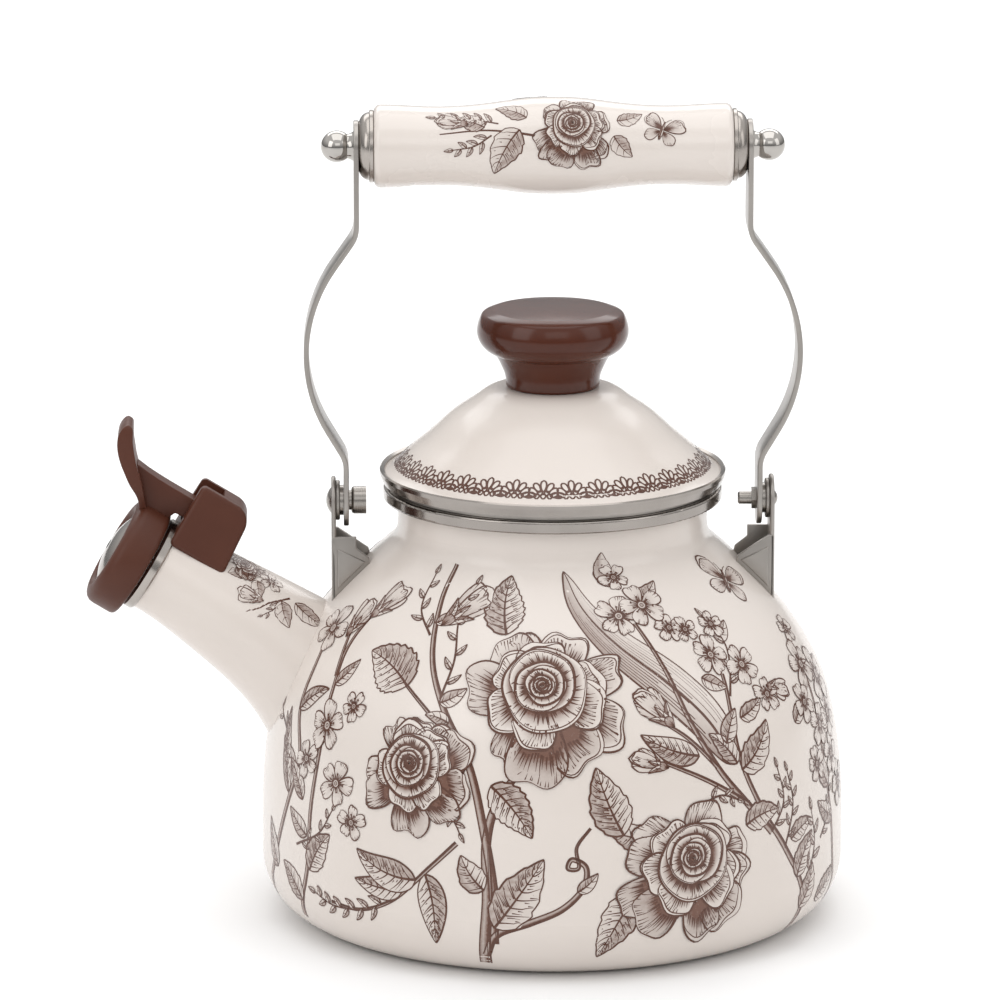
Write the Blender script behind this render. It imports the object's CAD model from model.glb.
from math import atan2, cos, pi, radians, sin

import bpy
import numpy as np
from mathutils import Matrix, Vector
from mathutils.bvhtree import BVHTree


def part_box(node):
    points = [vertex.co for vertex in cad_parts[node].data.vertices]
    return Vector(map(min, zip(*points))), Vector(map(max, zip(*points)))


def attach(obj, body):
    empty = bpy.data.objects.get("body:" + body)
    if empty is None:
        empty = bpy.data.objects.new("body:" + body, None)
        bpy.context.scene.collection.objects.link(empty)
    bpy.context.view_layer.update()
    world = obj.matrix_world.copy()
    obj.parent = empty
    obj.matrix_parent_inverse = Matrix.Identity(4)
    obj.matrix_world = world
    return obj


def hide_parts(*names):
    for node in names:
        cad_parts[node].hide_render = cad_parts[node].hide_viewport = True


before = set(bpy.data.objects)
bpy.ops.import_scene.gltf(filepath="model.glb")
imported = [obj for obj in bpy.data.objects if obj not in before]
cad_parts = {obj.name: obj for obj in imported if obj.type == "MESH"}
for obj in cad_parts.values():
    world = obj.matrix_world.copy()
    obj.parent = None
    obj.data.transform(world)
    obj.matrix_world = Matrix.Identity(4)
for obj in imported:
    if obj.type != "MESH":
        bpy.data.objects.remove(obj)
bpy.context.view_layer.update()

# ---------------------------------------------------------------- studio
# A pale sweep of floor, large soft lamps and a long lens a little above the kettle.
# The room's walls are greyer than the floor, so that polished metal has a horizon to show.
scene = bpy.context.scene
scene.view_settings.view_transform = "Standard"


def deselect_all():
    bpy.ops.object.select_all(action="DESELECT")


deselect_all()
bpy.ops.mesh.primitive_plane_add(size=9, location=(0, 0, 0))
floor = bpy.context.object
floor.name = "studio_floor"
floor_paint = bpy.data.materials.new("pale_floor")
floor_paint.use_nodes = True
floor_shader = floor_paint.node_tree.nodes["Principled BSDF"]
floor_looks = {"Base Color": (0.9, 0.9, 0.9, 1), "Roughness": 0.9, "Specular IOR Level": 0}
for socket, value in floor_looks.items():
    floor_shader.inputs[socket].default_value = value
floor.data.materials.append(floor_paint)

room = bpy.data.worlds.new("room")
scene.world = room
room.use_nodes = True
room_nodes = room.node_tree.nodes
room_links = room.node_tree.links
direction = room_nodes.new("ShaderNodeTexCoord")
height = room_nodes.new("ShaderNodeSeparateXYZ")
wall_tones = room_nodes.new("ShaderNodeValToRGB")
for stop, (place, grey) in zip(wall_tones.color_ramp.elements, ((0.02, 0.3), (0.5, 1))):
    stop.position, stop.color = place, (grey, grey, grey, 1)
room_links.new(direction.outputs["Generated"], height.inputs[0])
room_links.new(height.outputs["Z"], wall_tones.inputs[0])
room_links.new(wall_tones.outputs[0], room_nodes["Background"].inputs["Color"])
room_nodes["Background"].inputs["Strength"].default_value = 0.9


def soft_lamp(name, place, target, width, height, power):
    deselect_all()
    bpy.ops.object.light_add(type="AREA", location=place)
    lamp = bpy.context.object
    lamp.name = name
    lamp.data.shape = "RECTANGLE"
    lamp.data.size = width
    lamp.data.size_y = height
    lamp.data.energy = power
    lamp.rotation_euler = (Vector(target) - Vector(place)).to_track_quat("-Z", "Y").to_euler()


pot_middle = (0, 0, 0.1)
soft_lamp("lamp_left", (-1.3, -1.0, 0.9), pot_middle, 0.9, 1.2, 5)
soft_lamp("lamp_right", (1.4, -0.7, 0.8), pot_middle, 0.8, 1.2, 3)
soft_lamp("lamp_above", (0, -0.1, 1.7), pot_middle, 1.6, 1.6, 9)
soft_lamp("lamp_back", (0, 2.9, 2.2), (0, 2.9, 0), 4, 2.6, 60)
soft_lamp("lamp_front", (0.2, -2.4, 1.3), pot_middle, 1.6, 0.8, 3)

camera_yaw = radians(1.5)
camera_reach = 2.067
camera_height = 0.607
aim = Vector((-0.0153, 0, 0.1222))
deselect_all()
camera_place = (
    aim.x - camera_reach * sin(camera_yaw),
    aim.y - camera_reach * cos(camera_yaw),
    camera_height,
)
bpy.ops.object.camera_add(location=camera_place)
camera = bpy.context.object
camera.rotation_euler = (aim - camera.location).to_track_quat("-Z", "Y").to_euler()
camera.data.sensor_width = 36
camera.data.lens = 262.5
scene.camera = camera

# ---------------------------------------------------------------- enamelled steel
# The pot, its foot, the spout and the lid are pressed steel under vitreous enamel. The enamel is
# thick and glossy, a warm off-white that clouds a little where it pooled in the kiln, with the
# faint ripple of fired glass.
class Signal:
    """A number, colour or vector on its way through a finish."""

    def __init__(self, finish, socket):
        self.finish, self.socket = finish, socket

    def maths(self, operation, *values):
        return self.finish.add("ShaderNodeMath", {"operation": operation}, dict(enumerate(values)))

    def __add__(self, other):
        return self.maths("ADD", self, other)

    def __sub__(self, other):
        return self.maths("SUBTRACT", self, other)

    def __rsub__(self, other):
        return self.maths("SUBTRACT", other, self)

    def __mul__(self, other):
        return self.maths("MULTIPLY", self, other)

    def __pow__(self, other):
        return self.maths("POWER", self, other)

    __radd__ = __add__
    __rmul__ = __mul__


class Finish:
    """A finish being mixed: its material, its nodes and the shader that they feed."""

    def __init__(self, name, **sockets):
        self.material = bpy.data.materials.new(name)
        self.material.use_nodes = True
        self.nodes = self.material.node_tree.nodes
        self.shader = self.nodes["Principled BSDF"]
        self.set(self.shader, {key.replace("_", " "): value for key, value in sockets.items()})

    def set(self, node, sockets):
        for key, value in sockets.items():
            if isinstance(value, Signal):
                self.material.node_tree.links.new(value.socket, node.inputs[key])
            else:
                node.inputs[key].default_value = value

    def add(self, kind, settings=None, sockets=None, output=0):
        node = self.nodes.new(kind)
        for key, value in (settings or {}).items():
            setattr(node, key, value)
        self.set(node, sockets or {})
        return Signal(self, node.outputs[output])

    def place(self):
        return self.add("ShaderNodeTexCoord", output="Object")

    def noise(self, scale, detail=2, where=None):
        sockets = {"Vector": where or self.place(), "Scale": scale, "Detail": detail}
        return self.add("ShaderNodeTexNoise", {}, sockets)

    def mix(self, share, first, second):
        """A colour between two others."""
        sockets = {0: share, 6: first, 7: second}
        return self.add("ShaderNodeMix", {"data_type": "RGBA"}, sockets, 2)

    def clamp(self, value):
        return self.add("ShaderNodeClamp", {}, {"Value": value})

    def bump(self, height, depth, strength):
        """Relief of a depth in metres."""
        sockets = {"Height": height, "Distance": depth, "Strength": strength}
        self.set(self.shader, {"Normal": self.add("ShaderNodeBump", {}, sockets)})


enamel_light = (0.725, 0.662, 0.615, 1)
enamel_deep = (0.68, 0.615, 0.565, 1)


def enamel_colour(finish):
    clouding = finish.clamp(finish.noise(14) * 2.4 - 0.7)
    return finish.mix(clouding, enamel_light, enamel_deep)


# the gloss of a fired glass surface, shared by the enamel and the printing on it
fired_gloss = {"Specular_IOR_Level": 0.35, "Coat_Weight": 0.12, "Coat_Roughness": 0.06}
enamel = Finish("vitreous_enamel", **fired_gloss)
enamel.set(enamel.shader, {
    "Base Color": enamel_colour(enamel),
    "Roughness": 0.17 + 0.1 * enamel.noise(45, 3),
})
enamel.bump(enamel.noise(230, 1) + 0.35 * enamel.noise(900, 1), 0.00004, 0.5)


def give(finish, *nodes):
    """Puts a finish on CAD pieces whose shape is kept."""
    for name in nodes:
        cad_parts[name].material_slots[0].material = finish.material


give(enamel, "body_shell", "base_pan", "spout_tube", "lid_shell")

# ---------------------------------------------------------------- printed flowers
# A one-colour transfer in the manner of an engraving, fired onto the enamel: roses, blossoms, buds
# and leaves in dark brown line over a thin brown tint. It has no relief that a finger would feel.
def beside(path):
    """Unit vectors square to a path, on its left."""
    run = np.gradient(path, axis=0)
    return np.stack((-run[:, 1], run[:, 0]), 1) / np.maximum(np.hypot(*run.T), 1e-6)[:, None]


def around_spot(centre, far, angle):
    """Places at a distance from a centre in a direction."""
    return np.stack((centre[0] + far * np.cos(angle), centre[1] + far * np.sin(angle)), -1)


class Transfer:
    """One sheet of printing for a wall: tinted patches, and ink lines over them, laid in order.

    It is drawn in millimetres on the flat, x to the right and y up, about the spot last set. The
    wall's own function turns flat places and a lift into points of the wall. Each patch lies a
    hair over the last, so that a petal hides what is behind it."""

    step = 0.014  # mm from one patch up to the next
    longest = 1.3  # mm along a line between two of its points
    weight = 1.35  # how bold the lines are

    def __init__(self, wall):
        self.wall = wall
        self.spots = 0
        self.sheets = {kind: ([], [], []) for kind in ("tint", "ink")}

    def set_spot(self, spot, turn=0, size=1, level=0):
        self.spots += 1
        self.spot, self.size = spot, size
        self.lift = 0.02 + 0.04 * level + 0.0014 * (self.spots % 19)
        lean = radians(turn)
        self.turn = size * np.array(((cos(lean), -sin(lean)), (sin(lean), cos(lean))))

    def lay(self, kind, grid, tone, lift):
        rows, columns = grid.shape[:2]
        corners, faces, tones = self.sheets[kind]
        first = len(corners)
        flat = grid.reshape(-1, 2) @ self.turn.T
        corners.extend(self.wall(self.spot, flat, lift))
        tones.extend(np.broadcast_to(tone, (rows, columns)).ravel())
        x, y = flat.reshape(rows, columns, 2).transpose(2, 0, 1)
        falling = x[:-1, 1:] - x[1:, :-1], y[:-1, 1:] - y[1:, :-1]
        rising = x[1:, 1:] - x[:-1, :-1], y[1:, 1:] - y[:-1, :-1]
        turned = (falling[0] * rising[1] - falling[1] * rising[0]).sum() < 0
        for r in range(rows - 1):
            for c in range(columns - 1):
                a = first + r * columns + c
                face = (a, a + 1, a + 1 + columns, a + columns)
                faces.append(face[::-1] if turned else face)

    def patch(self, grid, tone):
        self.lay("tint", grid, tone, self.lift)
        self.lift += self.step

    def line(self, path, widths):
        path = np.asarray(path, float)
        gaps = np.hypot(*np.diff(path, axis=0).T)
        run = np.concatenate(((0,), np.cumsum(gaps)))
        count = max(len(path), int(run[-1] * self.size / self.longest) + 2)
        fine = np.linspace(0, run[-1], count)
        widths = np.interp(fine, run, np.broadcast_to(widths, len(path)))
        path = np.stack([np.interp(fine, run, side) for side in path.T], 1)
        reach = (widths * self.weight / 2 / self.size)[:, None] * beside(path)
        self.lay("ink", np.stack((path + reach, path - reach), 1), 1.0, self.lift - 0.4 * self.step)


def smooth_path(points, count):
    """A soft line through a few places."""
    points = np.asarray(points, float)
    ends = np.vstack((2 * points[0] - points[1], points, 2 * points[-1] - points[-2]))
    path = []
    for t in np.linspace(0, len(points) - 1.0001, count):
        k, u = int(t), t % 1
        a, b, c, d = ends[k:k + 4]
        bow, twist = 2 * a - 5 * b + 4 * c - d, 3 * b - a - 3 * c + d
        path.append(0.5 * (2 * b + (c - a) * u + bow * u**2 + twist * u**3))
    return np.array(path)


def draw_petal(sheet, root, aim, reach, spread, seed, depth=0.8, cover=0.0, lip=0.0, bend=0.0,
               strokes=12, notch=0.0, ground=0.14, outline=0.42):
    """A fan of a petal: waved at its rim, and shaded and hatched from where the petal over it
    ends."""
    dice = np.random.default_rng(seed)
    shift, ripple = dice.uniform(0, 2 * pi, 2)
    dark_side = dice.choice((-1, 1))
    aim, spread = radians(aim), radians(spread)
    fine = min(1, 0.55 + reach / 30)

    def place(across, along):
        rim = reach * (1 - np.abs(across) ** 3) ** 0.5
        rim = rim * (1 + 0.05 * np.sin(3.6 * across + shift) + 0.03 * np.sin(8.5 * across + ripple))
        rim = rim - notch * reach * np.exp(-((across / 0.2) ** 2))
        angle = aim + spread * across * (0.8 + 0.2 * along) + bend * along**2
        return around_spot(root, rim * along, angle)

    columns = int(np.clip(reach * spread * sheet.size, 9, 30))
    across = np.sin(np.linspace(-pi / 2, pi / 2, columns))
    shown = max(0.03, cover - 0.16)
    along = np.linspace(shown, 1.0, int(np.clip(reach * (1 - shown) * sheet.size / 1.5, 5, 16)))
    flat_across, flat_along = np.meshgrid(across, along)
    past_cover = np.clip(flat_along - cover, 0, 1) / (1 - cover)
    tone = ground + depth * np.exp(-((past_cover / 0.4) ** 2))
    tone = tone + 0.3 * np.clip(flat_across * dark_side, 0, 1) ** 2
    if lip:
        tone = np.where(flat_along > 0.93, ground * 0.3, tone)
    sheet.patch(place(flat_across, flat_along), np.clip(tone, 0, 1))

    for k in range(strokes):
        start = -0.9 + 1.8 * (k + dice.uniform(0.1, 0.9)) / strokes
        length = dice.uniform(0.25, 0.7) * (1 - 0.3 * abs(start)) * (1 - cover)
        t = cover + np.linspace(0.03, 0.05 + length, 6)
        sway = 0.03 * np.sin(9 * t + shift)
        widths = np.linspace(dice.uniform(0.3, 0.55) * fine, 0.05, 6)
        sheet.line(place(np.full(6, start) + sway, t), widths)
    short_strokes = strokes * 2 // 3
    for k in range(short_strokes):
        start = dark_side * (-0.25 + 1.1 * (k + dice.uniform(0.1, 0.9)) / short_strokes)
        if abs(start) < 0.93:
            top = 0.98 - lip
            t = np.linspace(top, top - dice.uniform(0.06, 0.24) * (1 - 0.5 * cover), 4)
            sheet.line(place(np.full(4, start), t), np.linspace(0.26 * fine, 0.05, 4))
    if lip:
        run = np.linspace(-0.84, 0.84, 28)
        drop = lip * (0.75 + 0.45 * np.sin(3.1 * run + ripple)) * (1 - (run / 0.95) ** 4)
        sheet.line(place(run, 1 - drop), 0.1 + 0.2 * np.cos(1.4 * run) ** 2)
    run = np.sin(np.linspace(-pi / 2, pi / 2, max(20, int(reach * spread * 2.6))))
    sheet.line(place(run, 1.0), outline * fine * (0.75 + 0.35 * np.sin(2.6 * run + shift)))


def draw_whorl(sheet, centre, size, seed):
    """The bowl and heart of a rose: cups set in one another, each shaded where the next rises
    from it."""
    dice = np.random.default_rng(seed)
    x, y = centre
    radius, angle = size, radians(96 + dice.uniform(-14, 14))
    while radius > size * 0.1:
        turn = np.linspace(0, 2 * pi, int(np.clip(radius * 5, 18, 44)))
        inner = radius * dice.uniform(0.74, 0.8)
        off = 0.93 * (radius - inner)
        shift, ripple = dice.uniform(0, 2 * pi, 2)

        def place(around, share):
            slant = around - angle
            low = off * np.cos(slant) + np.sqrt(inner**2 - (off * np.sin(slant)) ** 2)
            wave = 0.035 * np.sin(2 * around + shift) + 0.025 * np.sin(5 * around + ripple)
            rim = radius * (1 + wave)
            far = np.where(share < 0, low * (1 + share), low + (rim - low) * share)
            return around_spot((x, y), far, around)

        around, share = np.meshgrid(turn, (-0.35, 0.0, 0.2, 0.4, 0.62, 0.82, 1.0))
        facing = 0.5 - 0.5 * np.cos(around - angle + 0.5)
        fade = np.exp(-((np.clip(share, 0, 1) / 0.42) ** 2))
        tone = 0.06 + fade * (0.35 + 0.65 * facing)
        sheet.patch(place(around, share), np.clip(tone, 0, 1))
        for n in range(int(6 + 3.2 * radius)):
            at = angle + pi + dice.normal(0, 0.95)
            t = np.linspace(-0.06, dice.uniform(0.2, 0.85), 5)
            widths = np.linspace(dice.uniform(0.35, 0.6), 0.06, 5)
            sheet.line(place(np.full(5, at) + 0.08 * t, t), widths)
        for n in range(int(1.6 * radius)):
            at = angle + pi + dice.normal(0.5, 1.0)
            t = np.linspace(0.84, dice.uniform(0.55, 0.75), 3)
            sheet.line(place(np.full(3, at), t), np.linspace(0.24, 0.05, 3))
        half = angle + pi + np.linspace(-1.7, 1.9, 24)
        sheet.line(place(half, 0.86), 0.06 + 0.2 * np.sin(np.linspace(0.1, 3.0, 24)))
        sheet.line(place(turn, 1.0), 0.2 + 0.36 * np.cos((turn - angle) / 2 - 0.7) ** 2)
        x, y = x + off * cos(angle), y + off * sin(angle)
        radius, angle = inner, angle + radians(dice.uniform(118, 150))
    arc = np.linspace(0, 4.2, 12)
    curl = around_spot((x, y), radius * (0.3 + 0.12 * arc), arc)
    sheet.line(curl, np.linspace(0.5, 0.2, 12))


def draw_rose(sheet, seed):
    """An open garden rose, 48 mm across: loose petals round a bowl of tight ones."""
    dice = np.random.default_rng(seed)
    for k, aim in enumerate((100, 62, 142, 20, 182, 338, 222, 300, 262)):
        low = (1 - sin(radians(aim))) / 2
        draw_petal(sheet, (0, -1), aim + dice.uniform(-7, 7),
                   20 + 4 * low + dice.uniform(-1.4, 1.4), 30 + dice.uniform(-4, 5),
                   seed * 40 + k, cover=0.62,
                   bend=dice.uniform(-0.3, 0.3), strokes=20, lip=(0, 0.07)[k % 2],
                   notch=0.06 * (k % 3 == 0), ground=0.08 + 0.2 * low, depth=0.85)
    for k, aim in enumerate((84, 150, 14, 205, 332, 262)):
        draw_petal(sheet, (0, 0.5), aim + dice.uniform(-9, 9), 16.2 + dice.uniform(-0.8, 0.8), 43,
                   seed * 40 + 10 + k, cover=0.6, bend=dice.uniform(-0.25, 0.25), strokes=20,
                   lip=(0.1, 0.05)[k % 2], ground=0.06, depth=0.95)
    draw_whorl(sheet, (0, 1.5), 11.8, seed)


def draw_leaf(sheet, root, aim, length, width, seed, bend=0.5, teeth=9, dark=0.62, shaded=1):
    """A leaf with toothed edges, a midrib, curved side veins, and one half in shade."""
    dice = np.random.default_rng(seed)
    run = np.linspace(0, 1, 41)
    heading = radians(aim) + bend * (run - 0.4)
    steps = np.stack((np.cos(heading), np.sin(heading)), 1) * length / 40
    spine = np.array(root) + np.vstack(((0, 0), np.cumsum(steps[:-1], axis=0)))

    def place(across, along):
        along = np.clip(along, 0, 1)
        x, y = (np.interp(along, run, spine[:, n]) for n in (0, 1))
        turn = np.interp(along, run, heading)
        half = width / 2 * np.sin(pi * along ** 0.72) ** 0.85 * (1 - 0.12 * along)
        half = half * (1 - 0.16 * (1 - (along * teeth) % 1)) if teeth else half
        return np.stack((x - np.sin(turn) * half * across, y + np.cos(turn) * half * across), -1)

    rows = int(np.clip(length / 1.4, 7, 36))
    across, along = np.meshgrid(np.linspace(-1, 1, 9), np.linspace(0.01, 0.995, rows))
    ribs = 0.5 + 0.5 * np.cos(2 * pi * (along * 7 - np.abs(across) * 1.1))
    shade = np.where(across * shaded > 0, dark, 0.16)
    tone = shade * (0.55 + 0.45 * ribs) + 0.4 * np.exp(-np.abs(across) / 0.16) * (1 - along)
    sheet.patch(place(across, along), np.clip(tone, 0, 1))
    veins = int(np.clip(length / 2.6, 2, 7))
    fine = min(1, 0.4 + length / 24)
    for k in range(veins):
        at = 0.08 + 0.8 * k / veins
        for side in (-1, 1):
            t = np.linspace(0, 1, 7)
            vein = place(side * t ** 0.85 * 0.93, at + 0.16 * t)
            sheet.line(vein, np.linspace(0.34, 0.1, 7) * fine)
            hatching = int(min(4, length / 5) if side == shaded else min(2, length / 9))
            for n in range(hatching):
                first, last = sorted(dice.uniform(0.08, 0.9, 2))
                off = at + 0.02 + 0.6 / veins * (n + 0.5) / hatching
                t = np.linspace(first, last, 5)
                sheet.line(place(side * t, off + 0.14 * t), np.linspace(0.3, 0.06, 5) * fine)
    for side in (-1, 1):
        t = np.linspace(0, 1, max(14, int(length), teeth * 5))
        sheet.line(place(np.full(len(t), side), t), (0.3 + 0.14 * (side == shaded)) * fine)
    sheet.line(spine[::2], np.linspace(0.62, 0.16, 21) * fine)


def draw_blade(sheet, points, width, seed):
    """A long blade of a leaf that arches over, with veins running lengthwise and a shaded half."""
    dice = np.random.default_rng(seed)
    path = smooth_path(points, 60)
    side = beside(path)
    share = np.linspace(0, 1, 60)
    half = width / 2 * np.sin(pi * share ** 0.8) ** 0.7 * (1 - 0.25 * share)
    across = np.linspace(-1, 1, 9)
    grid = path[:, None] + (across[None, :] * half[:, None])[..., None] * side[:, None]
    tone = np.clip(0.36 + 0.34 * across, 0, 1)[None, :] * (0.75 + 0.25 * np.cos(9 * share))[:, None]
    sheet.patch(grid, tone)

    def lane(at):
        return path + side * (half * at)[:, None]

    sheet.line(lane(-0.98), 0.26)
    sheet.line(lane(0.98), 0.36)
    sheet.line(path, np.linspace(0.6, 0.2, 60))
    for k in range(16):
        at = (k + 0.5) / 8 - 1
        first = int(dice.uniform(3, 26))
        last = int(dice.uniform(34, 57))
        sheet.line(lane(at)[first:last], np.linspace(0.3, 0.08, last - first) * (0.7 + 0.4 * at))


def draw_blossom(sheet, centre, size, seed, turn=0):
    """A small open flower with five notched petals and a ring of stamens."""
    dice = np.random.default_rng(seed)
    for k in range(5):
        draw_petal(sheet, centre, turn + 72 * k + dice.uniform(-5, 5),
                   size * dice.uniform(0.92, 1.06), 37, seed * 10 + k, depth=0.6, strokes=9,
                   notch=0.07, ground=0.07, outline=0.4)
    middle = np.array(centre)
    disc = around_spot((0, 0), size, np.linspace(0, 2 * pi, 13))
    sheet.patch(np.stack([middle + disc * r for r in (0.02, 0.17)]), 0.35)
    sheet.line(middle + disc * 0.17, 0.24)
    sheet.line(middle + disc * 0.07, 0.2)
    for k in range(9):
        at = radians(turn) + 2 * pi * (k + dice.uniform(-0.2, 0.2)) / 9
        out = np.array((cos(at), sin(at)))
        near, far = 0.19 * size, dice.uniform(0.32, 0.44) * size
        sheet.line([middle + r * out for r in (near, (near + far) / 2, far)], 0.14)
        sheet.line([middle + r * out for r in (far, far + 0.25, far + 0.5)], 0.5)


def draw_bud(sheet, root, aim, length, seed):
    """A closed bud: folded petals held in a calyx whose three sepals curl away."""
    for k, (lean, share, spread) in enumerate(((-12, 0.86, 20), (13, 0.92, 20), (0, 1.0, 21))):
        draw_petal(sheet, root, aim + lean, length * share, spread, seed * 10 + k, depth=0.75,
                   strokes=8, lip=0.1 if k == 2 else 0, ground=0.12, outline=0.38)
    for k, lean in enumerate((-30.0, 0.0, 30.0)):
        draw_leaf(sheet, root, aim + lean, length * 0.55, length * 0.16, seed * 10 + 5 + k,
                  bend=0.02 * lean, teeth=0, dark=0.9)
    heading = np.array((cos(radians(aim)), sin(radians(aim))))
    draw_petal(sheet, np.array(root) - length * 0.05 * heading, aim, length * 0.26, 42,
               seed * 10 + 9, depth=0.9, strokes=6, ground=0.55)


def draw_stem(sheet, points, thick, thin):
    """A stem: tinted, edged with two lines, and hatched down its shaded side. A fine one is one
    line."""
    count = 24 * (len(points) - 1)
    path = smooth_path(points, count)
    widths = np.linspace(thick, thin, count)
    if thick <= 0.9:
        sheet.line(path, widths * 1.15)
        return
    side = beside(path) * widths[:, None]
    across = np.linspace(-0.5, 0.5, 4)
    grid = path[:, None] + across[None, :, None] * side[:, None]
    sheet.patch(grid, np.array((1.0, 0.95, 0.45, 0.8)))
    for at, width in ((0.5, 0.3), (-0.5, 0.46), (-0.26, 0.2)):
        sheet.line(path + side * at, width)


def draw_sprig(sheet, points, leaves, seed, thick=0.5, leaf=5.5):
    """A thin stem with small leaves set left and right by turns."""
    draw_stem(sheet, points, thick, 0.25)
    path = smooth_path(points, 60)
    width = 0.36
    for k in range(leaves):
        at = int(8 + 50 * k / leaves)
        run = path[at + 1] - path[at - 1]
        heading = np.degrees(atan2(run[1], run[0]))
        side = 1 if k % 2 else -1
        draw_leaf(sheet, path[at], heading + side * 46, leaf * (1 - 0.35 * k / leaves),
                  leaf * width, seed * 20 + k, bend=-0.5 * side, teeth=0, dark=0.6, shaded=side)
    draw_leaf(sheet, path[-1], heading, leaf * 0.7, leaf * width * 0.8, seed * 20 + 19, bend=0.1,
              teeth=0)


def draw_butterfly(sheet, size, seed):
    """A small butterfly with open wings."""
    for side in (-1, 1):
        draw_petal(sheet, (0.3 * side, -0.1 * size), 90 - side * 125, size * 0.72, 38, seed,
                   strokes=9, depth=0.9)
        draw_petal(sheet, (0.3 * side, 0), 90 - side * 58, size, 36, seed + 4, strokes=11,
                   depth=0.9, lip=0.12)
        feeler = np.array(((0, 0.3), (0.12 * side, 0.5), (0.24 * side, 0.6)))
        sheet.line(feeler * size, 0.16)
    draw_leaf(sheet, (0, -0.5 * size), 90, 0.9 * size, 0.16 * size, seed, bend=0, teeth=0, dark=1)


def draw_loop(sheet, root, aim, length, width):
    """One thread loop of a lace edging."""
    around = np.linspace(0, 2 * pi, 15)
    along = length * (0.5 - 0.5 * np.cos(around))
    aside = width / 2 * np.sin(around) * (0.55 + 0.45 * along / length) / 0.8
    c, s = cos(radians(aim)), sin(radians(aim))
    x, y = root[0] + along * c - aside * s, root[1] + along * s + aside * c
    sheet.line(np.stack((x, y), 1), 0.3)


def draw_fan(sheet, width):
    """One scallop of lace: a fan of loops over a row of small ones, and a link to the next."""
    near = 2.0
    for aim, length in (
        (90, 5.9), (62, 5.5), (118, 5.5), (35, 5.0), (145, 5.0), (10, 4.4), (170, 4.4),
    ):
        root = near * cos(radians(aim)), 0.9 + near * sin(radians(aim)) * 0.8
        draw_loop(sheet, root, aim, length - near, 1.7)
    for x in (-1.9, 0, 1.9):
        draw_loop(sheet, (x, 0.1), 90, 1.6, 1.5)
    for x in (-0.95, 0.95):
        draw_loop(sheet, (x, 1.3), 90, 1.5, 1.4)
    draw_loop(sheet, (width / 2 - 1.1, 0.75), 0, 2.2, 0.9)


def outline_of(node, axis):
    """How far a turned CAD piece's outer wall stands from its axis: places along the axis and
    radii, in metres."""
    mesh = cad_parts[node].data
    low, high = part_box(node)
    across = [n for n in range(3) if n != axis]
    middle = [0.0 if axis == 2 else (low[n] + high[n]) / 2 for n in across]
    rings = {}
    for face in mesh.polygons:
        out = [face.center[n] - m for n, m in zip(across, middle)]
        facing = out[0] * face.normal[across[0]] + out[1] * face.normal[across[1]]
        if facing > 0.001 * (abs(out[0]) + abs(out[1])):
            for corner in face.vertices:
                place = mesh.vertices[corner].co
                squares = [(place[n] - m) ** 2 for n, m in zip(across, middle)]
                rings.setdefault(round(place[axis], 4), []).append(sum(squares) ** 0.5)
    full = sorted((along, max(radii)) for along, radii in rings.items() if len(radii) > 40)
    return np.array(full).T


def turned_wall(node, axis, onto):
    """A wall function for a turned piece. Spots on it are an angle in degrees and a place along
    the axis in mm."""
    along, radius = outline_of(node, axis)
    run = np.concatenate(((0,), np.cumsum(np.hypot(np.diff(along), np.diff(radius)))))
    tilt = np.arctan2(-np.gradient(radius, run), np.gradient(along, run))

    def wall(spot, flat, lift):
        up = np.interp(spot[1] / 1000, along, run) + flat[:, 1] / 1000
        reach = np.interp(up, run, radius)
        slope = np.interp(up, run, tilt)
        angle = radians(spot[0]) + flat[:, 0] / 1000 / reach
        rise = lift / 1000 * np.sin(slope)
        return onto(angle, reach + lift / 1000 * np.cos(slope), np.interp(up, run, along) + rise)

    wall.radius = lambda place: np.interp(place / 1000, along, radius) * 1000
    wall.run = lambda place: np.interp(place / 1000, along, run) * 1000
    return wall


def upright(angle, reach, height):
    """Points round the pot's own axis, with angle 0 at the front."""
    return np.stack((reach * np.sin(angle), -reach * np.cos(angle), height), 1)


def trail(wall, *spots):
    """The flat places of several spots, seen from the first one."""
    start = spots[0]
    return [(radians(angle - start[0]) * wall.radius(place), wall.run(place) - wall.run(start[1]))
            for angle, place in spots]


def fired_finish(name, colour_of, roughness):
    finish = Finish(name, **fired_gloss)
    tone = finish.add("ShaderNodeAttribute", {"attribute_name": "tone"}, output="Fac")
    finish.set(finish.shader, {
        "Base Color": colour_of(finish, tone),
        "Roughness": roughness + 0.12 * finish.noise(300),
    })
    finish.bump(finish.noise(1400, 1), 0.00002, 0.3)
    return finish


def tint_colour(finish, tone):
    thickness = finish.clamp(tone * (0.8 + 0.5 * finish.noise(1100, 3)))
    return finish.mix(thickness, enamel_colour(finish), (0.16, 0.078, 0.055, 1))


def ink_colour(finish, tone):
    thin = finish.clamp(1.1 - tone + 0.35 * finish.noise(500, 2))
    return finish.mix(thin, (0.062, 0.02, 0.011, 1), (0.2, 0.1, 0.07, 1))


tint = fired_finish("fired_tint", tint_colour, 0.2)
ink = fired_finish("fired_ink", ink_colour, 0.22)


def print_on(transfer, name, body):
    """Presses a finished transfer: one piece for its tints and one for its lines."""
    for kind, finish in (("tint", tint), ("ink", ink)):
        corners, faces, tones = transfer.sheets[kind]
        if not corners:
            continue
        mesh = bpy.data.meshes.new(f"{name}_{kind}")
        mesh.from_pydata(corners, [], faces)
        tone = mesh.attributes.new("tone", "FLOAT", "POINT")
        tone.data.foreach_set("value", np.array(tones, np.float32))
        mesh.materials.append(finish.material)
        mesh.shade_smooth()
        piece = bpy.data.objects.new(mesh.name, mesh)
        bpy.context.collection.objects.link(piece)
        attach(piece, body)


pot_wall = turned_wall("body_shell", 2, upright)


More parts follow.
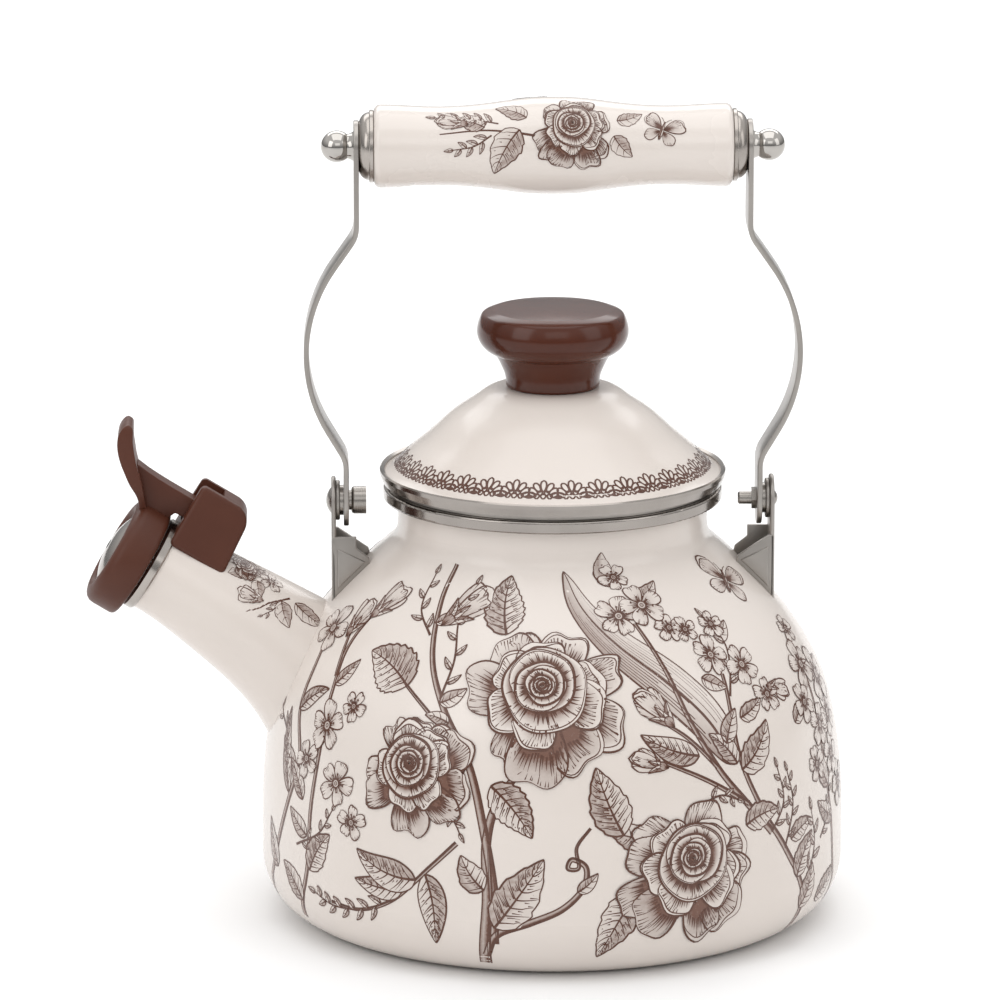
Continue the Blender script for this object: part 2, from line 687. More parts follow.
def draw_spray(sheet, front, seed):
    """One large spray, 150 degrees wide, about a bearing on the pot. Its places are degrees from
    that bearing and a height in mm."""
    def spot(angle, height, **rest):
        sheet.set_spot((front + angle, height), **rest)

    def way(spots, level=0):
        spot(*spots[0], level=level)
        return trail(sheet.wall, *spots)

    def stem(thick, thin, *spots):
        draw_stem(sheet, way(spots), thick, thin)

    def leaf(angle, height, aim, length, width, bend=0.5, teeth=9, level=1, shaded=1):
        spot(angle, height, level=level)
        draw_leaf(sheet, (0, 0), aim, length, width, seed + int(7 * abs(angle) + height), bend,
                  teeth, shaded=shaded)

    def blade(width, *spots):
        draw_blade(sheet, way(spots), width, seed)

    def sprig(leaves, size, *spots):
        draw_sprig(sheet, way(spots, 1), leaves, seed + leaves, leaf=size)

    def bud(angle, height, aim, length):
        spot(angle, height, level=2)
        draw_bud(sheet, (0, 0), aim, length, seed + int(3 * abs(angle) + height))

    def blossom(angle, height, size, turn):
        spot(angle, height, level=3)
        draw_blossom(sheet, (0, 0), size, seed + int(5 * abs(angle) + height), turn)

    # the main stems, twined, with a tendril: thickness at the foot and tip, and the way
    for row in (
        (3.2, 1.5, (-15.5, 5), (-14.4, 24), (-14.6, 42), (-12.5, 54), (-8, 63)),
        (2.6, 0.9, (-13.2, 12), (-13.2, 28), (-15.6, 48), (-19, 64), (-26, 78), (-32, 90),
         (-36.5, 103), (-38, 112)),
        (2.0, 0.4, (-15, 8), (-12.5, 15), (-6, 19), (0, 23), (4, 29), (4.6, 35), (2, 37.5),
         (1.2, 35), (3.2, 35.2), (2.8, 41), (5.5, 46.5)),
    ):
        stem(*row)
    # the stems at the left
    for row in (
        (1.9, 0.9, (-80, 5), (-73, 22), (-66, 42), (-63, 55), (-67, 68), (-68, 80), (-70, 88)),
        (1.6, 0.8, (-62, 8), (-58, 24), (-57, 42), (-56, 60), (-57, 76), (-59, 88), (-57, 99)),
        (1.0, 0.7, (-58, 80), (-62, 92)), (0.95, 0.6, (-24, 71), (-30, 77), (-36, 82)),
    ):
        stem(*row)
    # the stems at the right
    for row in (
        (1.9, 0.8, (46, 38), (39, 49), (33, 60), (28, 74), (25, 88), (21, 99)),
        (1.2, 0.7, (40, 48), (30, 57), (20, 64)), (1.0, 0.6, (33, 60), (27, 69), (22, 74)),
        (2.0, 0.8, (57, 4), (56, 18), (50, 32), (44, 44), (39.5, 58), (38.5, 70), (40, 84)),
        (1.5, 0.7, (73, 6), (71, 30), (68, 52), (70, 76)),
    ):
        stem(*row)
    # leaves: bearing, height, aim, length, width, bend, teeth, level and shaded half
    for row in (
        (-14, 97, 97, 20, 13, -0.5, 9, 2), (-36, 82, 152, 19, 17, 0.6, 9, 1, -1),
        (-14, 58, -48, 19, 12, -0.4), (-13, 17, 55, 25, 14, 0.1, 5),
        (-15, 28, 128, 12, 9, -0.6, 4), (12, 44, 112, 21, 13, -0.3, 6, 2),
        (17, 41, 160, 12, 9, 0.4, 5, 2), (15, 27, -122, 23, 12, 0.4, 6),
        (39, 42, 12, 14, 9, -0.6, 5), (38, 60, 128, 13, 7, 0.5, 5), (39, 58, 40, 18, 11, 0.7, 5),
    ):
        leaf(*row)
    blade(16, (37, 60), (33, 72), (25, 84), (15, 94), (7, 103), (2, 112))
    for row in (
        (29, 64, 158, 19, 8, -0.5, 0, 0), (-57, 24, 55, 16, 10, -0.5, 5),
        (-71, 20, 120, 15, 8, -0.4, 5), (-66, 44, 108, 25, 6, -0.2, 0),
        (-57, 60, 74, 12, 6, -0.5, 0), (-67, 68, 40, 15, 6, -0.6, 0),
        (-60, 44, 130, 14, 6, 0.4, 0), (54, 22, 55, 15, 9, -0.4, 5), (56, 12, 60, 14, 9, 0.5, 5),
        (69, 44, 118, 15, 8, -0.4, 5), (-27, 79, 32, 9, 5, 0.5, 0), (24, 104, 35, 10, 6, 0.5, 4),
        (17, 108, 95, 11, 7, -0.3, 4), (43, 92, 35, 9, 5, 0.4, 0), (34, 84, -30, 9, 5, 0.4, 0),
        (58, 66, 30, 10, 6, -0.4, 4), (-64, 52, 150, 13, 6, -0.5, 0),
        (-57, 78, 55, 11, 5, 0.4, 0), (-60, 14, 140, 15, 8, 0.5, 5),
        (-58, 34, 150, 12, 6, -0.4, 0), (-20, 52, 170, 9, 5, 0.5, 0), (3, 28, 40, 8, 4, 0.5, 0),
        (36, 66, 60, 11, 6, -0.4, 0), (41, 72, 20, 11, 6, 0.4, 4), (52, 34, 20, 12, 7, -0.4, 5),
        (70, 60, 20, 12, 6, 0.4, 0), (71, 34, 150, 14, 7, -0.4, 5), (63, 12, 30, 14, 8, 0.4, 5),
        (-24, 74, 165, 8, 4, 0.5, 0), (-35, 98, 40, 8, 4, 0.5, 0),
    ):
        leaf(*row)
    # a cut branch at the lower left
    stem(1.1, 0.5, (-20.5, 41), (-26, 33), (-34, 22), (-42, 17), (-50, 17))
    for row in (
        (-29, 29, 168, 22, 10, -0.8, 0, 1, -1), (-27, 31, -80, 21, 9, -0.5, 0),
        (-32, 25, 178, 17, 7, -0.3, 0, 1, -1),
    ):
        leaf(*row)
    sprig(11, 5.2, (-34, 22), (-41, 17.5), (-49, 16), (-55, 18))
    # thin sprigs: number of leaves, their length, and the way
    for row in (
        (7, 5, (-27, 80), (-26, 90), (-28.5, 100), (-27, 108)),
        (5, 5, (-35, 95), (-42, 101), (-44, 109)), (7, 4.5, (50, 32), (53, 44), (52, 54)),
        (6, 6, (56, 16), (61, 28), (60, 40)), (6, 5, (40, 78), (45, 90), (43, 98)),
        (6, 4.4, (-19, 64), (-22, 52), (-20, 44)), (6, 4.2, (-62, 30), (-54, 36), (-50, 44)),
        (5, 4.4, (-70, 60), (-77, 66), (-79, 74)), (6, 4.6, (46, 38), (50, 46), (49, 56)),
        (5, 4.4, (28, 50), (33, 52), (37, 50)), (5, 4.4, (64, 30), (68, 36), (70, 46)),
    ):
        sprig(*row)
    # buds: bearing, height, aim and length
    for row in (
        (-32.5, 98, 50, 17), (-57.5, 96, 62, 14), (-62, 90, 82, 13), (24, 73, 128, 14),
        (21.5, 62, 158, 11), (52, 78, -22, 10),
    ):
        bud(*row)
    # blossoms: bearing, height, size and turn
    for row in (
        (-70, 90, 8.0, 10), (-55, 67, 7.6, 24), (-48.5, 74, 4.8, 60), (-49.5, 52, 7.0, 0),
        (-60, 56, 5.6, 40), (-44.5, 42, 5.4, 15), (17, 101, 7.0, 5), (25, 103, 7.4, 30),
        (19, 110, 4.6, 50), (30.5, 97, 4.8, 12), (39, 89, 6.2, 0), (47, 85, 6.4, 33),
        (35, 96, 4.4, 20), (51, 76, 5.4, 15), (44, 96, 4.6, 8), (70, 79, 7.6, 20),
        (64, 70, 6.0, 44), (69, 62, 6.6, 0), (64, 52, 5.6, 30), (74, 88, 5.0, 10),
        (77, 74, 9.0, 15), (76, 63, 7.6, 40), (73, 52, 6.4, 5), (77, 42, 7.0, 25),
    ):
        blossom(*row)
    spot(63, 104, turn=-35, level=2)
    draw_butterfly(sheet, 10, seed + 9)
    # roses
    for number, angle, height, size, turn in (
        (1, -30.5, 60.5, 0.78, 40), (2, 26, 33, 0.95, -25), (3, -3.5, 82.5, 1.05, 0),
    ):
        spot(angle, height, turn=turn, size=size, level=6)
        draw_rose(sheet, seed + number)


for name, bearing, seed in (("print_front", 0, 11), ("print_back", 180, 60)):
    pot_print = Transfer(pot_wall)
    draw_spray(pot_print, bearing, seed)
    print_on(pot_print, name, "pot")

# ---------------------------------------------------------------- spout print
# The same transfer, cut smaller and drawn in a finer line, is laid over the top of the spout: a
# small rose, two blossoms, a bud and a few leaves.
spout_skin = BVHTree.FromObject(
    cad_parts["spout_tube"], bpy.context.evaluated_depsgraph_get())
ring_low, ring_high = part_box("spout_ring")
spout_mouth = np.array((ring_low + ring_high) / 2)
spout_root = np.array((-0.062, 0, 0.063))
spout_run = np.linalg.norm(spout_root - spout_mouth) * 1000
spout_side = np.array((0, -1, 0))
spout_top = np.array((0.55, 0, 0.835))
spout_radius = 17  # its radius in mm, near enough to turn millimetres into an angle
past_the_wall = 0.024  # metres out from its middle line, clear of its wall


def spout_wall(spot, flat, lift):
    """Spots on the spout are the distance from its mouth in mm, and degrees up from its side."""
    points = []
    for along, up in flat:
        share = (spot[0] + along) / spout_run
        middle = spout_mouth + (spout_root - spout_mouth) * share
        angle = radians(spot[1]) + up / spout_radius
        out = spout_side * cos(angle) + spout_top * sin(angle)
        place, normal, _, _ = spout_skin.find_nearest(Vector(middle + past_the_wall * out))
        if normal.dot(Vector(out)) < 0:
            normal = -normal
        points.append(tuple(place + normal * lift / 1000))
    return points


spout_print = Transfer(spout_wall)
spout_print.longest = 0.9
spout_print.weight = 0.8
for spot, aim, length, width in (
    ((24, 64), -150, 7, 5), ((27, 62), -60, 6, 5), ((40, 60), -12, 11, 5.5), ((36, 54), -48, 8, 6),
    ((22, 76), 20, 7, 4.5),
):
    spout_print.set_spot(spot, level=1)
    draw_leaf(spout_print, (0, 0), aim, length, width, int(spot[0]), teeth=4)
spout_print.set_spot((38, 62), level=0)
draw_stem(spout_print, [(0, 0), (-2, -2), (-5, -5), (-7, -8), (-10, -11)], 0.7, 0.3)
spout_print.set_spot((35, 52), level=0)
draw_sprig(spout_print, [(0, 0), (0, -3), (-2, -6)], 4, 4, thick=0.4, leaf=2.6)
for spot, size in (((31, 70), 4.0), ((27, 78), 3.4)):
    spout_print.set_spot(spot, level=2)
    draw_blossom(spout_print, (0, 0), size, int(spot[0]), 20)
spout_print.set_spot((31, 44), level=3)
draw_bud(spout_print, (0, 0), 190, 8, 31)
spout_print.set_spot((22, 74), size=0.24, level=3, turn=20)
draw_rose(spout_print, 5)
print_on(spout_print, "print_spout", "pot")

# ---------------------------------------------------------------- lid lace
# A lace edging, printed and fired in the same brown, that runs round the lid just above its steel
# rim.
lid_wall = turned_wall("lid_shell", 2, upright)
lace = Transfer(lid_wall)
lace.weight = 1.8
lace.longest = 0.7
fans = 34
lace_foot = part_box("lid_rim_ring")[1].z * 1000 + 0.8
for k in range(fans):
    lace.set_spot((360 * (k + 0.5) / fans, lace_foot))
    draw_fan(lace, 2 * pi * lid_wall.radius(lace_foot) / fans)
print_on(lace, "print_lid_lace", "lid")

# ---------------------------------------------------------------- grip prints
# A rose on a leafy twig, with a butterfly beside it, transferred onto the grip's front and again
# onto its back under the last coat of lacquer.
grip_low, grip_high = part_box("grip")
grip_centre = (grip_low + grip_high) / 2


def lying(angle, reach, along):
    """Points round the grip, with angle 0 at the front."""
    up = grip_centre.z - reach * np.sin(angle)
    return np.stack((along, grip_centre.y - reach * np.cos(angle), up), 1)


grip_wall = turned_wall("grip", 0, lying)
for name, face, flip in (("print_grip_front", 0, 1), ("print_grip_back", 180, -1)):
    grip_print = Transfer(grip_wall)
    grip_print.longest = 0.9
    grip_print.weight = 0.9

    def at(along, up, turn=0, **rest):
        grip_print.set_spot((face - up * flip, along * flip), turn=90 * flip + turn, **rest)

    at(-9, 22)
    draw_stem(grip_print, [(8, -1), (-2, 1), (-12, 2), (-24, 1)], 0.8, 0.35)
    at(-16, 40)
    draw_sprig(grip_print, [(0, 0), (-8, 2), (-18, 3)], 9, 3, leaf=4.2)
    at(-18, 24)
    draw_sprig(grip_print, [(0, 0), (-5, -3), (-11, -4)], 6, 4, leaf=4)
    for along, up, aim, length, width in (
        (-10, 30, -122, 15, 10), (-20, 36, 160, 9, 6), (-8, 46, 150, 10, 6), (18, 44, 20, 8, 5),
        (17, 22, -50, 8, 6),
    ):
        at(along, up, level=1)
        draw_leaf(grip_print, (0, 0), aim, length, width, int(up), teeth=5)
    at(-25, 42, level=2)
    draw_bud(grip_print, (0, 0), 165, 9, 8)
    at(5.5, 32, size=0.53, level=3)
    draw_rose(grip_print, 7)
    at(31, 33, turn=-20, level=1)
    draw_butterfly(grip_print, 6.5, 3)
    print_on(grip_print, name, "bail")

# ---------------------------------------------------------------- rolled rings and fittings
# Bright stainless strip is rolled over the pot's mouth, the lid's rim and the spout's end. It is
# polished in a lathe, so that its finest scratches run round the axis. Screws, nuts, washers and
# ferrules are turned too, and left a little duller.
def lathe_grain(finish, centre, axis, fineness):
    """Fine lines that run round an axis."""
    def vectors(operation, first, second=None, output="Value"):
        sockets = {0: first} if second is None else {0: first, 1: second}
        return finish.add("ShaderNodeVectorMath", {"operation": operation}, sockets, output)

    out = vectors("SUBTRACT", finish.place(), centre, "Vector")
    along = vectors("DOT_PRODUCT", out, axis)
    reach = vectors("LENGTH", out)
    away = finish.clamp(reach * reach - along * along) ** 0.5
    lines = finish.add("ShaderNodeCombineXYZ", {}, {0: away * fineness, 1: along * fineness})
    return finish.noise(1, 2, lines)


def turned_metal(name, light, dark, roughness, centre, axis, fineness=9000):
    """Bare metal polished in a lathe, with fine lines and the faint clouding of handling."""
    finish = Finish(name, Metallic=1.0)
    grain = lathe_grain(finish, centre, axis, fineness)
    handling = finish.noise(60, 4)
    finish.set(finish.shader, {
        "Base Color": finish.mix(finish.clamp(handling * 2 - 0.5), light, dark),
        "Roughness": roughness * (0.8 + 0.2 * grain + 0.4 * handling),
    })
    finish.bump(grain, 0.0000012, 0.5)
    return finish


# each metal's colours, where it is clean and where it is handled
polished = (0.45, 0.415, 0.385, 1), (0.35, 0.32, 0.295, 1)
rolled = (0.37, 0.34, 0.315, 1), (0.29, 0.265, 0.245, 1)
dull = (0.37, 0.345, 0.32, 1), (0.28, 0.26, 0.24, 1)
brass = (0.74, 0.56, 0.3, 1), (0.6, 0.42, 0.2, 1)
spout_lean = radians(31.4)
spout_out = (-cos(spout_lean), 0, sin(spout_lean))
pivot_low, pivot_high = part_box("pivot_washer_right")
pivot_line = (0, 0, (pivot_low.z + pivot_high.z) / 2)
pot_axis = (0, 0, 0), (0, 0, 1)
give(turned_metal("rolled_ring", *rolled, 0.14, *pot_axis), "mouth_ring", "lid_rim_ring")
give(turned_metal("spout_ring", *polished, 0.16, tuple(spout_mouth), spout_out), "spout_ring")
give(turned_metal("lid_steel", *dull, 0.3, *pot_axis), "lid_skirt", "knob_washer", "knob_screw")
give(turned_metal("pivot_steel", *dull, 0.24, pivot_line, (1, 0, 0)), "pivot_screw_left",
     "pivot_screw_right", "pivot_washer_left", "pivot_washer_right", "barrel_nut_left",
     "lock_nut_right")
give(turned_metal("hinge_steel", *dull, 0.25, pivot_line, (0, 1, 0)), "hinge_pin", "block_screw")
give(turned_metal("insert_brass", *brass, 0.24, *pot_axis), "knob_insert")

# ---------------------------------------------------------------- ears
# One bent stamping of satin stainless sheet at each side, welded to the shoulder: a lug that holds
# the pivot on a round boss, and two flanges with a raised panel. It is brushed along its length.
def brushed_metal(name, roughness):
    """Stainless strip with a grain that runs upward."""
    finish = Finish(name, Metallic=1.0)
    lines = finish.add("ShaderNodeVectorMath", {"operation": "MULTIPLY"},
                       {0: finish.place(), 1: (7000, 7000, 110)})
    grain, wear = finish.noise(1, 3, lines), finish.noise(55, 4)
    light, dark = (0.4, 0.375, 0.35, 1), (0.31, 0.29, 0.27, 1)
    finish.set(finish.shader, {
        "Base Color": finish.mix(finish.clamp(wear * 2 - 0.5), light, dark),
        "Roughness": roughness + 0.12 * grain + 0.1 * wear,
    })
    finish.bump(grain, 0.000004, 0.5)
    return finish


def start(kind, **place):
    """A new simple shape, ready to be worked on."""
    deselect_all()
    getattr(bpy.ops.mesh, f"primitive_{kind}_add")(**place)
    bpy.ops.object.transform_apply()
    bpy.ops.object.mode_set(mode="EDIT")
    bpy.ops.mesh.select_all(action="SELECT")
    return bpy.context.object


def end_editing():
    """Turns every face outwards and leaves edit mode."""
    bpy.ops.mesh.select_all(action="SELECT")
    bpy.ops.mesh.normals_make_consistent(inside=False)
    bpy.ops.object.mode_set(mode="OBJECT")


def pick(*pieces):
    """Selects pieces and nothing else, with the first one active."""
    deselect_all()
    for piece in pieces:
        piece.select_set(True)
    bpy.context.view_layer.objects.active = pieces[0]


def soften(piece, radius, segments=3, angle=35):
    """Rounds the edges of a piece."""
    rounding = piece.modifiers.new("rounding", "BEVEL")
    rounding.width, rounding.segments = radius, segments
    rounding.limit_method, rounding.angle_limit = "ANGLE", radians(angle)
    pick(piece)
    bpy.ops.object.modifier_apply(modifier=rounding.name)


def weld(*pieces):
    """Makes pieces one with the first of them."""
    pick(*pieces)
    bpy.ops.object.join()
    return pieces[0]


def opposite(piece):
    """A copy of a piece on the other side, half a turn round the pot."""
    other = piece.copy()
    other.data = piece.data.copy()
    bpy.context.collection.objects.link(other)
    other.rotation_euler.z = pi
    pick(other)
    bpy.ops.object.transform_apply()
    return other


def complete(piece, name, finish, body, material_slot, *nodes):
    """Names, smooths and colours a finished piece and puts it on its body."""
    pick(piece)
    piece.name = piece.data.name = name
    bpy.ops.object.shade_smooth_by_angle(angle=radians(40))
    piece.data.materials.clear()
    piece.data.materials.append(finish.material)
    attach(piece, body)
    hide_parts(*nodes)


millimetre = 0.001


def blank(outline, place, thick, across):
    """A flat sheet cut to an outline in mm and given a thickness, square to X (0) or to Y (1)."""
    piece = start("circle", vertices=len(outline), radius=0.01, fill_type="NGON")
    bpy.ops.object.mode_set(mode="OBJECT")
    for corner, (aside, up) in zip(piece.data.vertices, outline):
        corner.co = (place, aside, up) if across == 0 else (aside, place, up)
        corner.co *= millimetre
    bpy.ops.object.mode_set(mode="EDIT")
    bpy.ops.mesh.select_all(action="SELECT")
    depth = [0, 0, 0]
    depth[across] = thick * millimetre
    bpy.ops.mesh.extrude_region_move(TRANSFORM_OT_translate={"value": depth})
    end_editing()
    return piece


# the ear's sizes in mm
ear_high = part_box("ear_right")[1] / millimetre
ear_sheet = 1.3
ear_outer = ear_high.x
ear_half = ear_high.y
ear_pivot = pivot_line[2] / millimetre
flange_top = 113
flange_shoulder = 109.6
ledge_reach = 57.2
tip_reach, tip_height = 53.6, 106.8
boss_radius, boss_proud = 5.8, 1.2
panel_sheet, panel_proud = 0.8, 0.45
shoulder_heights = np.linspace(70, flange_top, 80)
shoulder_reach = pot_wall.radius(shoulder_heights)


def down_shoulder(inner, top, foot, count):
    """Places down the pot's shoulder, where a plate that stands on it ends."""
    return [(np.interp(height, shoulder_heights, inner), height)
            for height in np.linspace(top, foot, count)[:-1]]


def flange(ledge):
    """A flange's outline: up its outer edge, in along its top, and back down the shoulder."""
    inner = np.sqrt(shoulder_reach**2 - (ear_half - ear_sheet / 2) ** 2) - 0.3
    foot = np.interp(-ear_outer, -inner, shoulder_heights)
    if ledge:
        top = [(ledge_reach, flange_top), (ledge_reach, flange_shoulder)]
    else:
        top = [(ear_outer - 1.8, flange_top)]
    down = down_shoulder(inner, np.interp(0.4 - tip_reach, -inner, shoulder_heights), foot, 14)
    down = [place for place in down if place[1] < tip_height - 0.8]
    return [(ear_outer, foot), (ear_outer, flange_top), *top, (tip_reach, tip_height), *down]


def panel():
    """The raised panel's outline, a little inside the flange's own."""
    inner = np.sqrt(shoulder_reach**2 - ear_half**2) + 1.6
    side = ear_outer - 1.6
    foot = np.interp(-side, -inner, shoulder_heights)
    down = down_shoulder(inner, tip_height - 1.2, foot, 13)
    return [(side, foot), (side, flange_shoulder), *down]


lug_foot = [
    (aside, np.interp(-np.hypot(ear_outer - 0.5, aside), -shoulder_reach, shoulder_heights))
    for aside in np.linspace(-ear_half, ear_half, 9)]


def arc(radius, first, last, count):
    """Places on an arc about the bail's pivot."""
    return [(radius * cos(angle), ear_pivot + radius * sin(angle))
            for angle in np.linspace(first, last, count)]


boss = arc(boss_radius, 0, 2 * pi, 37)[:-1]
ear_parts = []
for outline, place, thick, across, radius in (
    (lug_foot + arc(ear_half, 0, pi, 25), ear_outer - ear_sheet, ear_sheet, 0, 0.5),
    (flange(False), -ear_half, ear_sheet, 1, 0.3),
    (flange(True), ear_half - ear_sheet, ear_sheet, 1, 0.3),
    (boss, ear_outer - ear_sheet - boss_proud, boss_proud + 0.1, 0, 0.4),
    (panel(), -ear_half - panel_proud, panel_sheet, 1, 0.39),
    (panel(), ear_half + panel_proud - panel_sheet, panel_sheet, 1, 0.39),
):
    ear_parts.append(blank(outline, place, thick, across))
    soften(ear_parts[-1], radius * millimetre, angle=40)
right_ear = weld(*ear_parts)
left_ear = opposite(right_ear)
stamped = brushed_metal("stamped_satin", 0.3)
complete(right_ear, "ear_stamping_right", stamped, "pot", "steel_satin", "ear_right")
complete(left_ear, "ear_stamping_left", stamped, "pot", "steel_satin", "ear_left")
give(stamped, "block_bracket")

# ---------------------------------------------------------------- whistle block
# A block moulded in brown thermoplastic, clamped on the spout behind its ring. Two cheeks with
# rounded edges hold the hinge pin between them. The skin has the fine matt grain of its mould.
moulded = Finish("moulded_brown", Specular_IOR_Level=0.3)
cloud = moulded.noise(38, 3)
skin = moulded.noise(1500, 2)
brown_light, brown_deep = (0.09, 0.027, 0.014, 1), (0.07, 0.019, 0.009, 1)
moulded.set(moulded.shader, {
    "Base Color": moulded.mix(moulded.clamp(cloud * 2 - 0.5 + 0.2 * skin), brown_light, brown_deep),
    "Roughness": 0.34 + 0.16 * moulded.noise(420, 2) + 0.05 * cloud,
})
moulded.bump(skin + 0.5 * moulded.noise(4200, 1), 0.000016, 0.6)
give(moulded, "whistle_block")

# ---------------------------------------------------------------- whistle cap
# The brown plastic ring that holds the whistle over the spout's mouth. It is moulded in one piece
# with the arm that turns on the hinge pin and the curled tab that a thumb presses down to open it.
def draw_on(move, centre, scale):
    """Pulls the picked edge or face on by a move, and resizes it about a centre."""
    bpy.ops.mesh.extrude_region_move(TRANSFORM_OT_translate={"value": move})
    bpy.ops.transform.resize(value=scale, center_override=centre)


def turn_ring(outline, height):
    """A closed ring about a line along X at a height. Its outline is places along the line and
    radii."""
    last, radius = outline[0]
    ring = start("circle", vertices=72, radius=radius, location=(last, 0, height),
                 rotation=(0, pi / 2, 0))
    for along, reach in outline[1:] + outline[:1]:
        scale = reach / radius
        draw_on((along - last, 0, 0), (along, 0, height), (1, scale, scale))
        last, radius = along, reach
    bpy.ops.mesh.select_all(action="SELECT")
    bpy.ops.mesh.remove_doubles(threshold=0.00001)
    end_editing()
    return ring


def pull_bar(stations, along):
    """A bar pulled through stations along X (0) or Z (2): place, its low and high side across,
    and width."""
    across = 2 - along

    def spot(place, low, high, width):
        centre = [0, 0, 0]
        centre[along], centre[across] = place, (low + high) / 2
        return np.array(centre), high - low, width

    centre, thick, width = spot(*stations[0])
    bar = start("plane", size=1, location=centre, rotation=(0, pi / 2 if along == 0 else 0, 0))
    first = [1, width, 1]
    first[across] = thick
    bpy.ops.transform.resize(value=first, center_override=centre)
    for station in stations[1:]:
        to, new_thick, new_width = spot(*station)
        scale = [1, new_width / width, 1]
        scale[across] = new_thick / thick
        draw_on(tuple(to - centre), tuple(to), scale)
        centre, thick, width = to, new_thick, new_width
    end_editing()
    return bar


def metres(rows):
    return [[n * millimetre for n in row] for row in rows]


# the ring's middle line lies a little below the line that the arm and tab are set out from
cap_line = -1.5 * millimetre
cap_ring = turn_ring(metres((
    (3.6, 12.6), (3.6, 15.9), (3.9, 16.5), (4.5, 16.9), (5.2, 17), (10.6, 17), (11.8, 16.8),
    (12.8, 16.2), (13.5, 15.3), (13.9, 14.2), (14, 13.2), (13.7, 12.5), (13.1, 12.0), (12.3, 11.7),
    (11.4, 11.6), (4.4, 11.6), (3.9, 11.9))), cap_line)
cap_tab = pull_bar(smooth_path(metres((
    (11.5, 9.6, 12.8, 9), (14.2, 11.5, 14.1, 11), (16.4, 13.4, 16.3, 13.4),
    (18.2, 14.9, 19.5, 14.8), (20.2, 16.6, 22.3, 15), (22.4, 18.9, 25.1, 15),
    (24.6, 21.2, 27.3, 15), (27, 23.2, 29, 15), (29.4, 25.1, 29.9, 15), (31.4, 26.3, 29.9, 14.8),
    (32.7, 27.1, 29.5, 14), (33.3, 27.9, 29.0, 12.6))), 30), 2)
arm_width = 7.4
cap_arm = pull_bar(metres((*station, arm_width) for station in (
    (-5.3, 19.5, 21.1), (-4.9, 18.6, 22), (-4.1, 17.8, 22.8), (-3.2, 17.4, 23.2),
    (-2.2, 17.25, 23.4), (1, 17.3, 23.4), (3.7, 17.2, 23.4), (4.4, 15.6, 23.4), (5.0, 13.4, 23.4),
    (9, 13, 23.4), (13, 13.6, 23.5), (16.5, 16.6, 23.7), (20.5, 21.6, 24.2))), 0)
soften(cap_tab, 1.3 * millimetre, segments=4)
soften(cap_arm, 0.7 * millimetre)
weld(cap_ring, cap_tab, cap_arm)
# the cap is shaped square and then tipped onto the end of the spout
cap_seat = (-0.1156, 0, 0.1031)
cap_ring.matrix_world = Matrix.Translation(cap_seat) @ Matrix((
    (-cos(spout_lean), 0, sin(spout_lean)), (0, -1, 0), (sin(spout_lean), 0, cos(spout_lean)),
)).to_4x4()
pick(cap_ring)
bpy.ops.object.transform_apply()
complete(cap_ring, "whistle_cap_moulding", moulded, "whistle_cap", "plastic_brown", "whistle_cap")

# ---------------------------------------------------------------- whistle discs
# Two thin domed discs of bright stainless with a hole through both, pressed into the cap's bore.
# Steam that rushes through the two holes sounds the whistle.
give(turned_metal("whistle_steel", *polished, 0.14, tuple(spout_mouth), spout_out),
     "whistle_outer_disc", "whistle_inner_disc")

# ---------------------------------------------------------------- lid knob
# A turned-looking knob moulded in dark red-brown phenolic and buffed to a gloss, with the faint
# swirl of its filler.
phenolic = Finish("phenolic_brown", Specular_IOR_Level=0.3, Coat_Weight=0.05, Coat_Roughness=0.1)
swirl = phenolic.noise(46, 5)
knob_light, knob_deep = (0.082, 0.021, 0.01, 1), (0.056, 0.013, 0.006, 1)
phenolic.set(phenolic.shader, {
    "Base Color": phenolic.mix(phenolic.clamp(swirl * 2.4 - 0.7), knob_light, knob_deep),
    "Roughness": 0.12 + 0.1 * phenolic.noise(260, 3),
})
phenolic.bump(phenolic.noise(120, 2) + 0.3 * phenolic.noise(900, 1), 0.000015, 0.3)
give(phenolic, "lid_knob")

# ---------------------------------------------------------------- bail straps
# Flat stainless strip, 15 mm wide with full round ends, bowed outward and then pinched in to the
# pivots. It is blanked, bent and brushed along its length, and its edges are broken by tumbling.
strap_thick = 1.5 * millimetre
strap_low, strap_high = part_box("bail_strap_right")
strap_round = (strap_high.y - strap_low.y) / 2
strap_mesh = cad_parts["bail_strap_right"].data
strap_bend = {}
for face in strap_mesh.polygons:
    if face.normal.x > 0.2 and abs(face.normal.y) < 0.1:
        for corner in face.vertices:
            place = strap_mesh.vertices[corner].co
            strap_bend[round(place.z, 5)] = place.x
strap_bend = np.array(sorted(strap_bend.items()))
bend_heights = np.linspace(strap_low.z + strap_round, strap_high.z - strap_round, 90)
bend_reach = np.interp(bend_heights, *strap_bend.T)
strap = start("circle", vertices=48, radius=strap_round, fill_type="NGON",
              rotation=(0, pi / 2, 0), location=(bend_reach[0], 0, bend_heights[0]))
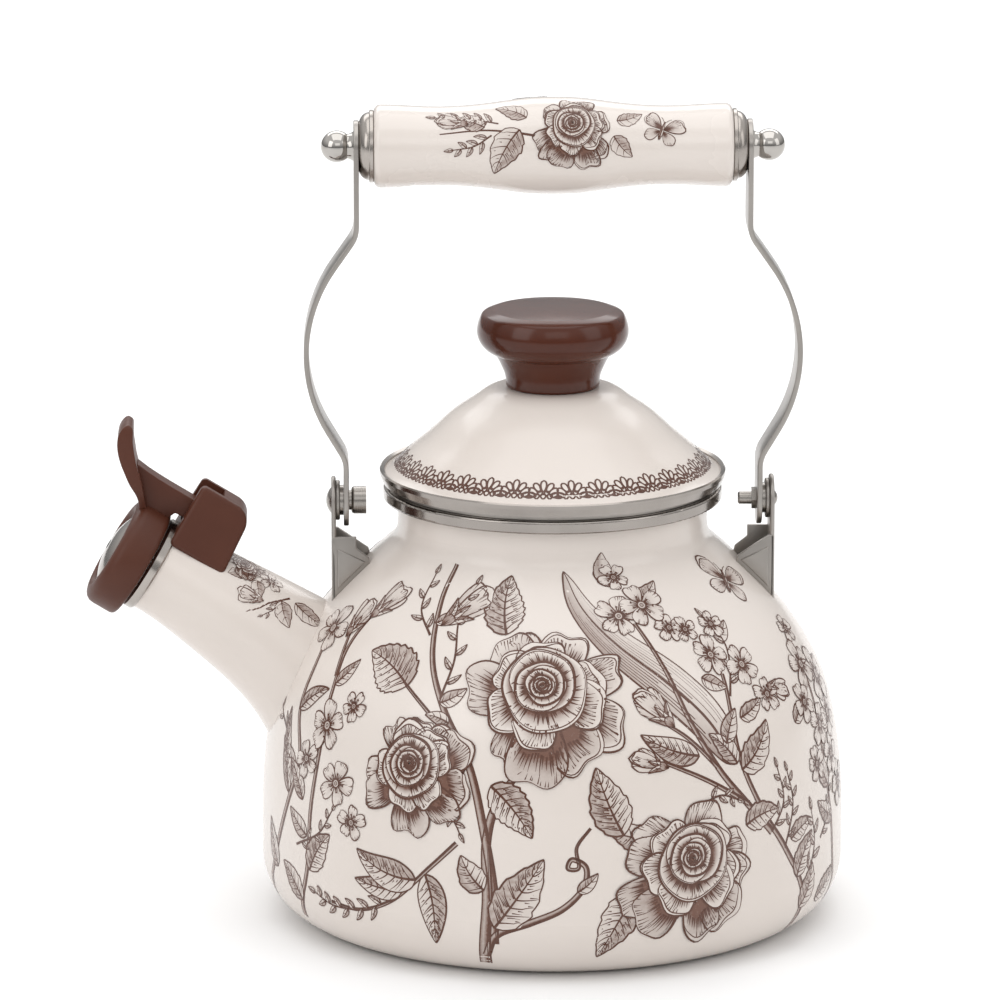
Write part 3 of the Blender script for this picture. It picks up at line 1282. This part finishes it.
bpy.ops.mesh.select_all(action="DESELECT")
bpy.ops.object.mode_set(mode="OBJECT")
for corner in strap.data.vertices:
    corner.select = bool(corner.co.z > bend_heights[0] + 0.00001)
bpy.ops.object.mode_set(mode="EDIT")
bpy.ops.transform.translate(value=(0, 0, bend_heights[-1] - bend_heights[0]))
for height in bend_heights:
    bpy.ops.mesh.select_all(action="SELECT")
    bpy.ops.mesh.bisect(plane_co=(0, 0, height), plane_no=(0, 0, 1))
bpy.ops.object.mode_set(mode="OBJECT")
for corner in strap.data.vertices:
    corner.co.x = np.interp(corner.co.z, bend_heights, bend_reach)
sheet_depth = strap.modifiers.new("sheet", "SOLIDIFY")
sheet_depth.thickness, sheet_depth.use_even_offset = strap_thick, True
sheet_depth.offset = -1 if strap.data.polygons[0].normal.x > 0 else 1
bpy.ops.object.modifier_apply(modifier=sheet_depth.name)
soften(strap, 0.3 * millimetre, angle=50)
brushed = brushed_metal("brushed_strip", 0.2)
for piece, side in ((strap, "right"), (opposite(strap), "left")):
    complete(piece, f"bail_strip_{side}", brushed, "bail", "steel_satin", f"bail_strap_{side}")

# ---------------------------------------------------------------- grip, rod and ball nuts
# A turned wooden grip lacquered cream, held between the straps by a rod through it. Steel ferrules
# close its ends, and chromed ball nuts outside the straps hold it all together.
lacquer = Finish("lacquered_cream", Coat_Weight=0.6, Coat_Roughness=0.05)
lacquer.set(lacquer.shader, {
    "Base Color": enamel_colour(lacquer),
    "Roughness": 0.22 + 0.1 * lacquer.noise(60, 3),
})
lacquer.bump(lacquer.noise(160, 1), 0.000012, 0.3)
give(lacquer, "grip")
grip_line = (0, 0, grip_centre.z)
give(turned_metal("ferrule_steel", *polished, 0.2, grip_line, (1, 0, 0)), "ferrule_left",
     "ferrule_right", "grip_rod")
chrome = (0.5, 0.475, 0.45, 1), (0.42, 0.4, 0.375, 1)
give(turned_metal("ball_chrome", *chrome, 0.06, grip_line, (1, 0, 0), 1200), "ball_nut_left",
     "ball_nut_right")
